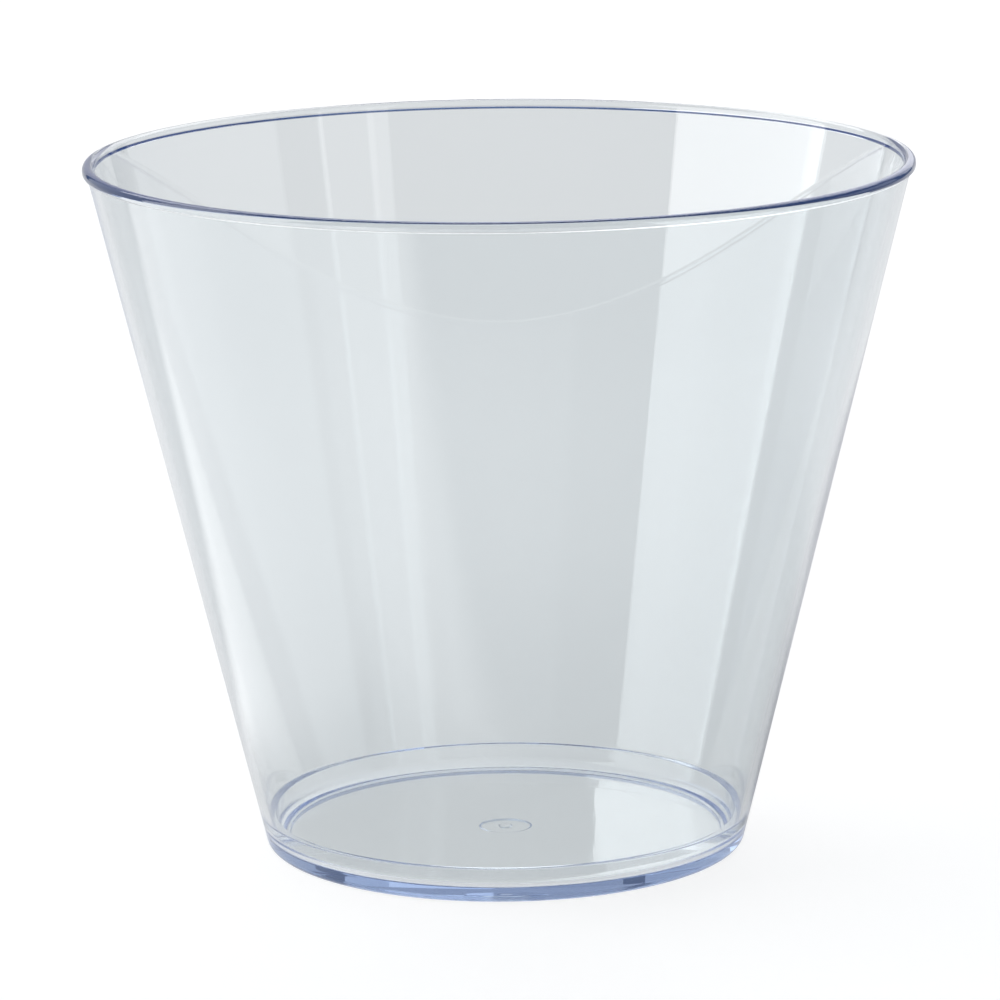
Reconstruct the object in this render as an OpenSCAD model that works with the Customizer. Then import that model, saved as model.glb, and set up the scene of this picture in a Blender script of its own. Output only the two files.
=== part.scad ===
// Squat tumbler, injection moulded in one piece of clear hard plastic.
// The origin is the centre of the foot ring's contact plane, +Z up the axis.

/* [Rim] */
// Height from the table to the top of the rim
height = 75.4; // [50:0.1:120]
// Diameter across the outside of the rim
rim_d = 89; // [80:0.5:110]
// Height of the band that the rim makes round the outside
rim_h = 1.1; // [1.1:0.1:3]
// How far the rim stands out past the wall below it
rim_out = 0.5; // [0.4:0.1:1.5]
// Rounding of the rim's two top edges, which makes its top nearly a half round
rim_edge_r = 0.6; // [0.2:0.05:0.65]
// Rounding of the rim's lower outer edge
rim_under_r = 0.35; // [0.1:0.05:0.45]

/* [Wall] */
// Thickness of the side wall, measured level
wall_t = 0.93; // [0.7:0.01:1.6]

/* [Foot] */
// Diameter at which the line of the wall's outside would meet the table
foot_d = 52.1; // [50:0.1:60]
// Rounding of the cup's outer bottom edge
foot_edge_r = 1; // [0.4:0.1:1.2]
// Diameter of the shallow recess in the underside, which leaves the foot ring round it
recess_d = 47.4; // [38:0.1:49]
// Depth of that recess
recess_depth = 0.55; // [0.3:0.05:1]

/* [Floor] */
// Thickness of the floor
floor_t = 1; // [0.7:0.05:1.5]
// Height above the table of the ledge inside, on which the next cup of a stack rests
ledge_h = 3.9; // [3.4:0.1:6]
// Width of that ledge
ledge_w = 0.9; // [0.5:0.05:1.4]
// Rounding at the ledge's two edges
ledge_edge_r = 0.15; // [0.1:0.05:0.25]
// Slope of the short wall below the ledge, from upright
well_draft = 3; // [0:0.5:10]
// Radius of the cove that leads from that wall into the floor
cove_r = 1.4; // [0.4:0.1:1.6]
// Diameter of the round gate well in the middle of the underside
gate_d = 5.6; // [3:0.1:10]
// Depth of the gate well
gate_depth = 0.3; // [0.1:0.05:0.5]
// Diameter of the gate's trimmed stub in the middle of its well
stub_d = 1.4; // [0.8:0.1:2.6]
// Height of that stub
stub_h = 0.2; // [0.1:0.05:0.3]

/* [Hidden] */

rim_r = rim_d / 2;
foot_r = foot_d / 2;
recess_r = recess_d / 2;
wall_top_r = rim_r - rim_out;
wall_top_z = height - rim_h;
// Run of the wall: growth of its radius for each unit of height
wall_run = (wall_top_r - foot_r) / wall_top_z;
floor_z = recess_depth + floor_t;
// Steps in each rounded stretch of the outline
arc_steps = 8;
// Extra length that a cutter has past the face it cuts
over = 0.5;
$fn = 180;

// Radius of the wall's outside and of its inside at height z
function outer_r(z) = foot_r + z * wall_run;
function inner_r(z) = outer_r(z) - wall_t;

// Points of a round stretch about [r, z], from angle a to angle b
function arc(r, z, radius, a, b) =
    [for (i = [0 : arc_steps]) let (t = a + (b - a) * i / arc_steps) [r + radius * cos(t), z + radius * sin(t)]];

// The corner at p between its neighbours before and after, rounded with the given radius
function unit(v) = v / norm(v);
function corner(before, p, after, radius) =
    let (
        u = unit(before - p),
        v = unit(after - p),
        half = acos(u * v) / 2,
        centre = p + unit(u + v) * radius / sin(half),
        from = p + u * radius / tan(half) - centre,
        to = p + v * radius / tan(half) - centre,
        a = atan2(from[1], from[0]),
        turn = (atan2(to[1], to[0]) - a + 540) % 360 - 180
    )
    arc(centre[0], centre[1], radius, a, a + turn);

// Half of the cup's section, from the middle of the underside round to the middle of the floor
function section() =
    let (
        foot_in = [recess_r, 0],
        foot_out = [foot_r, 0],
        wall_top = [wall_top_r, wall_top_z],
        rim_low = [rim_r, wall_top_z],
        rim_top = [rim_r, height],
        rim_in = [inner_r(height), height],
        ledge_out = [inner_r(ledge_h), ledge_h],
        ledge_in = [inner_r(ledge_h) - ledge_w, ledge_h],
        well_foot = [ledge_in[0] - (ledge_h - floor_z) * tan(well_draft), floor_z],
        floor_mid = [0, floor_z]
    )
    concat(
        [[0, recess_depth], [recess_r, recess_depth], foot_in],
        corner(foot_in, foot_out, wall_top, foot_edge_r),
        [wall_top],
        corner(wall_top, rim_low, rim_top, rim_under_r),
        corner(rim_low, rim_top, rim_in, rim_edge_r),
        corner(rim_top, rim_in, ledge_out, rim_edge_r),
        corner(rim_in, ledge_out, ledge_in, ledge_edge_r),
        corner(ledge_out, ledge_in, well_foot, ledge_edge_r),
        corner(ledge_in, well_foot, floor_mid, cove_r),
        [floor_mid]
    );

// Round well for the gate in the underside, with the trimmed stub left standing in it
module gate_well() {
    difference() {
        translate([0, 0, recess_depth - over])
            cylinder(d = gate_d, h = gate_depth + over);
        translate([0, 0, recess_depth + gate_depth - stub_h])
            cylinder(d = stub_d, h = stub_h + over);
    }
}

module cup() {
    color([0.86, 0.9, 0.92, 0.45])
        difference() {
            rotate_extrude() polygon(section());
            gate_well();
        }
}

cup();
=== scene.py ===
from math import acos, atan2, cos, pi, radians, sin, tan

import bpy
from mathutils import Matrix, Vector


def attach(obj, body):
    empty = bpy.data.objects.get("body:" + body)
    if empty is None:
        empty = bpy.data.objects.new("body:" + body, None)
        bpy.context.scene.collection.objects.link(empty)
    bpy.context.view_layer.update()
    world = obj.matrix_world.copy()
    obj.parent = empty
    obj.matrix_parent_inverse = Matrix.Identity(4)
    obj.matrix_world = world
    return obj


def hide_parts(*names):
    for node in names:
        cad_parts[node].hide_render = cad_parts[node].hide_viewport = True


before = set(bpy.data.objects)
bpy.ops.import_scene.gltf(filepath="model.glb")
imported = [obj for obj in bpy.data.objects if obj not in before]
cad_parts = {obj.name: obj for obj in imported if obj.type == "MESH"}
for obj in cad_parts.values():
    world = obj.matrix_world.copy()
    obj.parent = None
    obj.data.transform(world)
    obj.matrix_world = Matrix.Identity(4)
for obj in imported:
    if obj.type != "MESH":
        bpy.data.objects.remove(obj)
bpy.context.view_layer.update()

scene = bpy.context.scene

# The camera: a long lens a little above the rim, as for a catalogue picture.
# Its place and angles were fitted to the ellipses of the rim, the ledge and the foot. Places are in metres,
# angles in degrees, and the lens and the sensor in millimetres.
camera_back = 0.56647
camera_height = 0.16079
look_down = 12.2535
look_right = -0.0254
lean = -0.5849
lens = 192.5
sensor = 36
near_end = 0.01
far_end = 20

camera_data = bpy.data.cameras.new("catalogue_camera")
camera_data.lens = lens
camera_data.sensor_width = sensor
camera_data.clip_start = near_end
camera_data.clip_end = far_end
camera = bpy.data.objects.new("catalogue_camera", camera_data)
turn = Matrix.Rotation(radians(-look_right), 4, "Z")
tip = Matrix.Rotation(radians(90 - look_down), 4, "X")
roll = Matrix.Rotation(radians(lean), 4, "Z")
camera.matrix_world = Matrix.Translation((0, -camera_back, camera_height)) @ turn @ tip @ roll
scene.collection.objects.link(camera)
scene.camera = camera
scene.view_settings.view_transform = "Standard"
# Light runs a long way round inside the rim and the foot, mirrored at every face, before it comes out
bounces = 64
scene.cycles.max_bounces = bounces
scene.cycles.glossy_bounces = bounces
scene.cycles.transmission_bounces = bounces


# The cup: one shot of clear polystyrene, moulded between polished steel faces.
# Its section runs from the middle of the underside, out over the foot and up the wall to the rim, then down
# the inside past the stacking ledge to the floor, and is turned once round the axis.
MM = 0.001
height = 75.4 * MM
rim_r = 44.5 * MM
rim_h = 1.1 * MM
rim_out = 0.5 * MM
rim_edge_r = 0.6 * MM
rim_under_r = 0.35 * MM
wall_t = 0.93 * MM
foot_r = 26.05 * MM
foot_edge_r = 1.0 * MM
recess_r = 23.7 * MM
recess_depth = 0.55 * MM
floor_t = 1.0 * MM
ledge_h = 3.9 * MM
ledge_w = 0.9 * MM
ledge_edge_r = 0.15 * MM
well_draft = radians(3)
cove_r = 1.4 * MM
gate_r = 2.8 * MM
gate_depth = 0.3 * MM
stub_r = 0.7 * MM
stub_h = 0.2 * MM
small_edge_r = 0.12 * MM
# Points along a large rounded corner and along a small one, and the short step that keeps the straight
# stretch beside a corner flat
large_corner = 8
small_corner = 4
hold = 0.02 * MM

wall_top_r = rim_r - rim_out
wall_top_z = height - rim_h
wall_run = (wall_top_r - foot_r) / wall_top_z
floor_z = recess_depth + floor_t


def inner_r(z):
    """Radius of the wall's inside at height z."""
    return foot_r + z * wall_run - wall_t


def rounded(corners):
    """The outline through the (r, z, radius) corners, with a round of that radius at each."""
    line = []
    for i, (r, z, radius) in enumerate(corners):
        p = Vector((r, z))
        if not radius:
            line.append(p)
            continue
        before = (Vector(corners[i - 1][:2]) - p).normalized()
        after = (Vector(corners[i + 1][:2]) - p).normalized()
        half = acos(max(-1, min(1, before.dot(after)))) / 2
        centre = p + (before + after).normalized() * radius / sin(half)
        start = p + before * radius / tan(half)
        end = p + after * radius / tan(half)
        a = atan2(start.y - centre.y, start.x - centre.x)
        b = atan2(end.y - centre.y, end.x - centre.x)
        sweep = (b - a + 3 * pi) % (2 * pi) - pi
        steps = large_corner if radius > small_edge_r else small_corner
        line.append(start + before * hold)
        for k in range(steps + 1):
            t = a + sweep * k / steps
            line.append(centre + Vector((cos(t), sin(t))) * radius)
        line.append(end + after * hold)
    return line


well_r = inner_r(ledge_h) - ledge_w
section = rounded(
    [
        (0, recess_depth + gate_depth - stub_h, 0),
        (stub_r, recess_depth + gate_depth - stub_h, small_edge_r / 2),
        (stub_r, recess_depth + gate_depth, small_edge_r / 2),
        (gate_r, recess_depth + gate_depth, small_edge_r),
        (gate_r, recess_depth, small_edge_r),
        (recess_r, recess_depth, small_edge_r),
        (recess_r, 0, small_edge_r),
        (foot_r, 0, foot_edge_r),
        (wall_top_r, wall_top_z, small_edge_r),
        (rim_r, wall_top_z, rim_under_r),
        (rim_r, height, rim_edge_r),
        (inner_r(height), height, rim_edge_r),
        (inner_r(ledge_h), ledge_h, ledge_edge_r),
        (well_r, ledge_h, ledge_edge_r),
        (well_r - (ledge_h - floor_z) * tan(well_draft), floor_z, cove_r),
        (0, floor_z, 0),
    ]
)

outline = bpy.data.meshes.new("section_outline")
outline.from_pydata([(p.x, 0, p.y) for p in section], [(i, i + 1) for i in range(len(section) - 1)], [])
cup_draft = bpy.data.objects.new("cup_draft", outline)
scene.collection.objects.link(cup_draft)


def tree_node(tree, kind, links=(), **settings):
    """Adds a node, with its settings, and links each (input, socket) given for it."""
    node = tree.nodes.new(kind)
    for name, value in settings.items():
        setattr(node, name, value)
    for name, source in links:
        if isinstance(source, bpy.types.NodeSocket):
            tree.links.new(source, node.inputs[name])
        else:
            node.inputs[name].default_value = source
    return node


def maths(tree, operation, *values):
    """The result of a Math node on the values, sockets or numbers."""
    return tree_node(tree, "ShaderNodeMath", enumerate(values), operation=operation).outputs[0]


# Turning the section round the axis. The section is carried round a small circle, whose radius is taken off
# it first, and the points that meet on the axis and at the seam are joined.
steps_round = 480
axis_r = 1 * MM
touching = 0.001 * MM
turning = bpy.data.node_groups.new("turned_cup", "GeometryNodeTree")
turning.interface.new_socket("Geometry", in_out="INPUT", socket_type="NodeSocketGeometry")
turning.interface.new_socket("Geometry", in_out="OUTPUT", socket_type="NodeSocketGeometry")
for name, kind in (("Steps Round", "NodeSocketInt"), ("Material", "NodeSocketMaterial")):
    turning.interface.new_socket(name, in_out="INPUT", socket_type=kind)

given = turning.nodes.new("NodeGroupInput").outputs
section_line = tree_node(turning, "GeometryNodeMeshToCurve", [("Mesh", given["Geometry"])])
flat = tree_node(turning, "GeometryNodeTransform", [
    ("Geometry", section_line.outputs[0]), ("Rotation", (radians(90), 0, 0)), ("Translation", (-axis_r, 0, 0))])
circle = tree_node(turning, "GeometryNodeCurvePrimitiveCircle", [
    ("Resolution", given["Steps Round"]), ("Radius", axis_r)])
swept = tree_node(turning, "GeometryNodeCurveToMesh", [
    ("Curve", circle.outputs[0]), ("Profile Curve", flat.outputs[0])])
# The sweep leaves the faces looking inwards
outward = tree_node(turning, "GeometryNodeFlipFaces", [("Mesh", swept.outputs[0])])
joined = tree_node(turning, "GeometryNodeMergeByDistance", [
    ("Geometry", outward.outputs[0]), ("Distance", touching)])
smooth = tree_node(turning, "GeometryNodeSetShadeSmooth", [("Geometry", joined.outputs[0])])
real = tree_node(turning, "GeometryNodeRealizeInstances", [("Geometry", smooth.outputs[0])])
coated = tree_node(turning, "GeometryNodeSetMaterial", [
    ("Geometry", real.outputs[0]), ("Material", given["Material"])])
tree_node(turning, "NodeGroupOutput", [("Geometry", coated.outputs[0])])

# Clear polystyrene bends light strongly. A touch of blue dye hides its yellow cast, so that a long way through
# it looks navy. A faint blue glow is painted inside it, in place of light scattered on the way. Densities and
# strengths are for each metre.
surface_tint = (0.903, 0.925, 0.925, 1)
bending = 1.59
dye_colour = (0.2, 0.35, 0.6, 1)
dye_density = 30
painted_glow_colour = (0.28, 0.45, 1, 1)
painted_glow_strength = 2.8
# The faces aren't dead true: the plastic shrank a little unevenly as it cooled
unevenness = 45
uneven_depth = 0.035 * MM

clear_plastic = bpy.data.materials.new("clear_plastic")
clear_plastic.use_nodes = True
nodes = clear_plastic.node_tree
plastic = nodes.nodes["Principled BSDF"]
plastic.inputs["Base Color"].default_value = surface_tint
plastic.inputs["Roughness"].default_value = 0
plastic.inputs["IOR"].default_value = bending
plastic.inputs["Transmission Weight"].default_value = 1
place = nodes.nodes.new("ShaderNodeTexCoord").outputs["Object"]
shrinkage = tree_node(nodes, "ShaderNodeTexNoise", [("Vector", place), ("Scale", unevenness), ("Detail", 0)])
uneven = tree_node(nodes, "ShaderNodeBump", [
    ("Height", shrinkage.outputs["Fac"]), ("Strength", 1), ("Distance", uneven_depth)])
nodes.links.new(uneven.outputs[0], plastic.inputs["Normal"])
dye = tree_node(nodes, "ShaderNodeVolumeAbsorption", [("Color", dye_colour), ("Density", dye_density)])
# Painted glow: the plastic gives off a faint blue light of its own, standing in for scattered light
painted_glow = tree_node(nodes, "ShaderNodeEmission", [
    ("Color", painted_glow_colour), ("Strength", painted_glow_strength)])
inside = tree_node(nodes, "ShaderNodeAddShader", [(0, dye.outputs[0]), (1, painted_glow.outputs[0])])
nodes.links.new(inside.outputs[0], nodes.nodes["Material Output"].inputs["Volume"])

maker = cup_draft.modifiers.new("turned", "NODES")
maker.node_group = turning
set_inputs = {"Steps Round": steps_round, "Material": clear_plastic}
for socket in turning.interface.items_tree:
    if socket.in_out == "INPUT" and socket.name in set_inputs:
        maker[socket.identifier] = set_inputs[socket.name]
drawn = cup_draft.evaluated_get(bpy.context.evaluated_depsgraph_get())
cup = bpy.data.objects.new("moulded_cup", bpy.data.meshes.new_from_object(drawn))
cup.data.name = "moulded_cup"
scene.collection.objects.link(cup)
bpy.data.objects.remove(cup_draft)
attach(cup, "root")
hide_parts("cup")


# The sheet of matt white paper that the cup stands on, swept up behind it.
# It is white to the camera. Rays through and off the clear plastic see it glowing with painted light and shade
# instead of being lit: evenly bright behind the cup, a painted shade where the cup would shade it, painted
# light under the cup, and a painted patch of light on the left, whose edge shows in the front wall.
paper = bpy.data.materials.new("white_paper")
paper.use_nodes = True
paper.cycles.emission_sampling = "NONE"
nodes = paper.node_tree
sheet = nodes.nodes["Principled BSDF"]
sheet.inputs["Base Color"].default_value = (0.25, 0.25, 0.25, 1)
sheet.inputs["Roughness"].default_value = 0.9
sheet.inputs["Emission Color"].default_value = (1, 1, 1, 1)
place = nodes.nodes.new("ShaderNodeTexCoord").outputs["Object"]
spot = tree_node(nodes, "ShaderNodeSeparateXYZ", [(0, place)]).outputs


def ramp(value, low, high):
    """A soft step, 0 at low and 1 at high."""
    step = tree_node(nodes, "ShaderNodeMapRange", [("Value", value), ("From Min", low), ("From Max", high)],
                     interpolation_type="SMOOTHSTEP")
    return step.outputs[0]


def round_spot(x, y, low, high):
    """A soft step in the distance from a place on the sheet."""
    apart = tree_node(nodes, "ShaderNodeVectorMath", [(0, place), (1, (x, y, 0))], operation="DISTANCE")
    return ramp(apart.outputs["Value"], low, high)


def product(*values):
    """The values, sockets or numbers, multiplied together."""
    result = values[0]
    for value in values[1:]:
        result = maths(nodes, "MULTIPLY", result, value)
    return result


# The edge of the painted patch of light slants past the front of the cup, through this point and at this angle
# from the Y axis. Places on the sheet are in metres, and each step is given by where it is 0 and where it is 1.
edge_x = -0.0055
edge_y = -0.0517
edge_turn = radians(32.7)
past_edge = maths(nodes, "SUBTRACT", product(maths(nodes, "SUBTRACT", spot["X"], edge_x), cos(edge_turn)),
                  product(maths(nodes, "SUBTRACT", spot["Y"], edge_y), sin(edge_turn)))
# On the cup's left it ends in a line that slants away from the cup, with this much Y for each X
back_slant = 0.62
past_back = maths(nodes, "ADD", spot["Y"], product(spot["X"], back_slant))
beside_cup = product(ramp(spot["X"], -0.03, -0.055), ramp(past_back, 0.008, -0.016))
in_front = ramp(spot["Y"], -0.03, -0.06)
# A painted patch of light on the sheet, an emission mask rather than light from a lamp
painted_light_pool = product(ramp(past_edge, 0.011, -0.006), maths(nodes, "MAXIMUM", beside_cup, in_front),
               round_spot(0, 0, 0.03, 0.065))
# Strength of the sheet in the plastic, where 1 is white: that close beside the cup, and what each area adds as
# painted light and shade: brighter clear of a painted shade round the cup, painted light under the cup, and a
# painted falloff far off.
away_from_cup = round_spot(0, 0, 0.04, 0.16)
under_cup = round_spot(0, 0, 0.035, 0.024)
far_off = round_spot(0, 0, 0.2, 0.35)
sheet_level_and_painted_shade = 0.55
for area, adds in ((away_from_cup, 0.07), (under_cup, 0.17), (far_off, -0.04)):
    sheet_level_and_painted_shade = maths(nodes, "ADD", sheet_level_and_painted_shade, product(area, adds))
# Painted light and shade added where the sheet is seen straight off a face, in place of the lamps' own light: a
# painted shadow of the cup on its right, painted light on the front of the sheet, and the painted patch of
# light
painted_cup_shadow = round_spot(0.08, 0.012, 0.075, 0.03)
towards_camera = ramp(spot["Y"], -0.04, -0.11)
painted_reflected_light = 0
for area, adds in ((painted_cup_shadow, -0.34), (towards_camera, 0.44), (painted_light_pool, 1.3)):
    painted_reflected_light = maths(nodes, "ADD", painted_reflected_light, product(area, adds))
seen_by_camera = 0.83
rays = nodes.nodes.new("ShaderNodeLightPath").outputs
by_plastic = maths(nodes, "MAXIMUM", rays["Is Glossy Ray"], rays["Is Transmission Ray"])
by_mirror = maths(nodes, "MULTIPLY", rays["Is Glossy Ray"], rays["Is Reflection Ray"])
glow = maths(nodes, "ADD", product(by_plastic, sheet_level_and_painted_shade), product(by_mirror, painted_reflected_light))
glow = maths(nodes, "ADD", glow, product(rays["Is Camera Ray"], seen_by_camera))
nodes.links.new(glow, sheet.inputs["Emission Strength"])

sheet_front = -0.5
sheet_side = 0.7
sweep_y = 1.2
sweep_r = 0.5
sweep_top = 3.5
sweep_steps = 24
# The sheet gives a little under the foot, which leaves air between them
foot_gap = 0.2 * MM
line = [(sheet_front, 0.0)]
for k in range(sweep_steps + 1):
    t = pi / 2 * k / sweep_steps
    line.append((sweep_y + sweep_r * sin(t), sweep_r * (1 - cos(t))))
line.append((sweep_y + sweep_r, sweep_top))
corners = [(side, y, z - foot_gap) for y, z in line for side in (-sheet_side, sheet_side)]
faces = [(2 * i, 2 * i + 1, 2 * i + 3, 2 * i + 2) for i in range(len(line) - 1)]
paper_mesh = bpy.data.meshes.new("paper_sweep")
paper_mesh.from_pydata(corners, [], faces)
paper_mesh.materials.append(paper)
backdrop = bpy.data.objects.new("paper_sweep", paper_mesh)
scene.collection.objects.link(backdrop)


# The studio: a dim bluish room, white to the camera past the sheet, with soft boxes round the cup.
# What shows of them are the upright light and dark bands in the wall, so their places were found from those.
room = bpy.data.worlds.new("studio")
room.use_nodes = True
nodes = room.node_tree
dim = nodes.nodes["Background"]
dim.inputs["Color"].default_value = (0.6, 0.78, 1, 1)
dim.inputs["Strength"].default_value = 0.2
white = tree_node(nodes, "ShaderNodeBackground", [("Color", (1, 1, 1, 1)), ("Strength", 1)])
rays = nodes.nodes.new("ShaderNodeLightPath").outputs
past_sheet = tree_node(nodes, "ShaderNodeMixShader", [
    (0, rays["Is Camera Ray"]), (1, dim.outputs[0]), (2, white.outputs[0])])
nodes.links.new(past_sheet.outputs[0], nodes.nodes["World Output"].inputs["Surface"])
scene.world = room


def soft_box(name, azimuth, elevation, distance, wide, high, strength):
    """A soft box aimed at the cup, with its azimuth counted from the camera's side, positive to its right.
    The strength is that of the box's face, where 1 is white."""
    lamp = bpy.data.lights.new(name, "AREA")
    lamp.shape = "RECTANGLE"
    lamp.size = wide
    lamp.size_y = high
    # A box of radiance L and area A has the power pi * L * A
    lamp.energy = pi * strength * wide * high
    box = bpy.data.objects.new(name, lamp)
    a, e = radians(azimuth), radians(elevation)
    towards = Vector((sin(a) * cos(e), -cos(a) * cos(e), sin(e)))
    box.location = Vector((0, 0, height / 2)) + towards * distance
    box.rotation_euler = towards.to_track_quat("Z", "Y").to_euler()
    box.visible_camera = False
    scene.collection.objects.link(box)


# Azimuth and elevation in degrees, then the distance, width and height in metres, then the strength
soft_box("left_soft_box", -85, 20, 1.2, 1.25, 1.4, 2.2)
soft_box("back_left_box", -129, 20, 1.2, 1.0, 1.4, 0.58)
soft_box("back_right_box", 162, 18, 1.0, 0.55, 0.4, 0.8)
soft_box("right_panel", 105, 12, 1.4, 1.8, 0.5, 0.5)
soft_box("right_front_box", 48, 20, 1.3, 0.4, 1.2, 0.35)
soft_box("near_right_strip", 37.5, 20, 1.25, 0.14, 1.2, 0.7)
soft_box("far_right_strip", 56, 20, 1.25, 0.02, 1.2, 1.0)
soft_box("back_top_box", 180, 50, 1.3, 1.8, 0.9, 1.8)
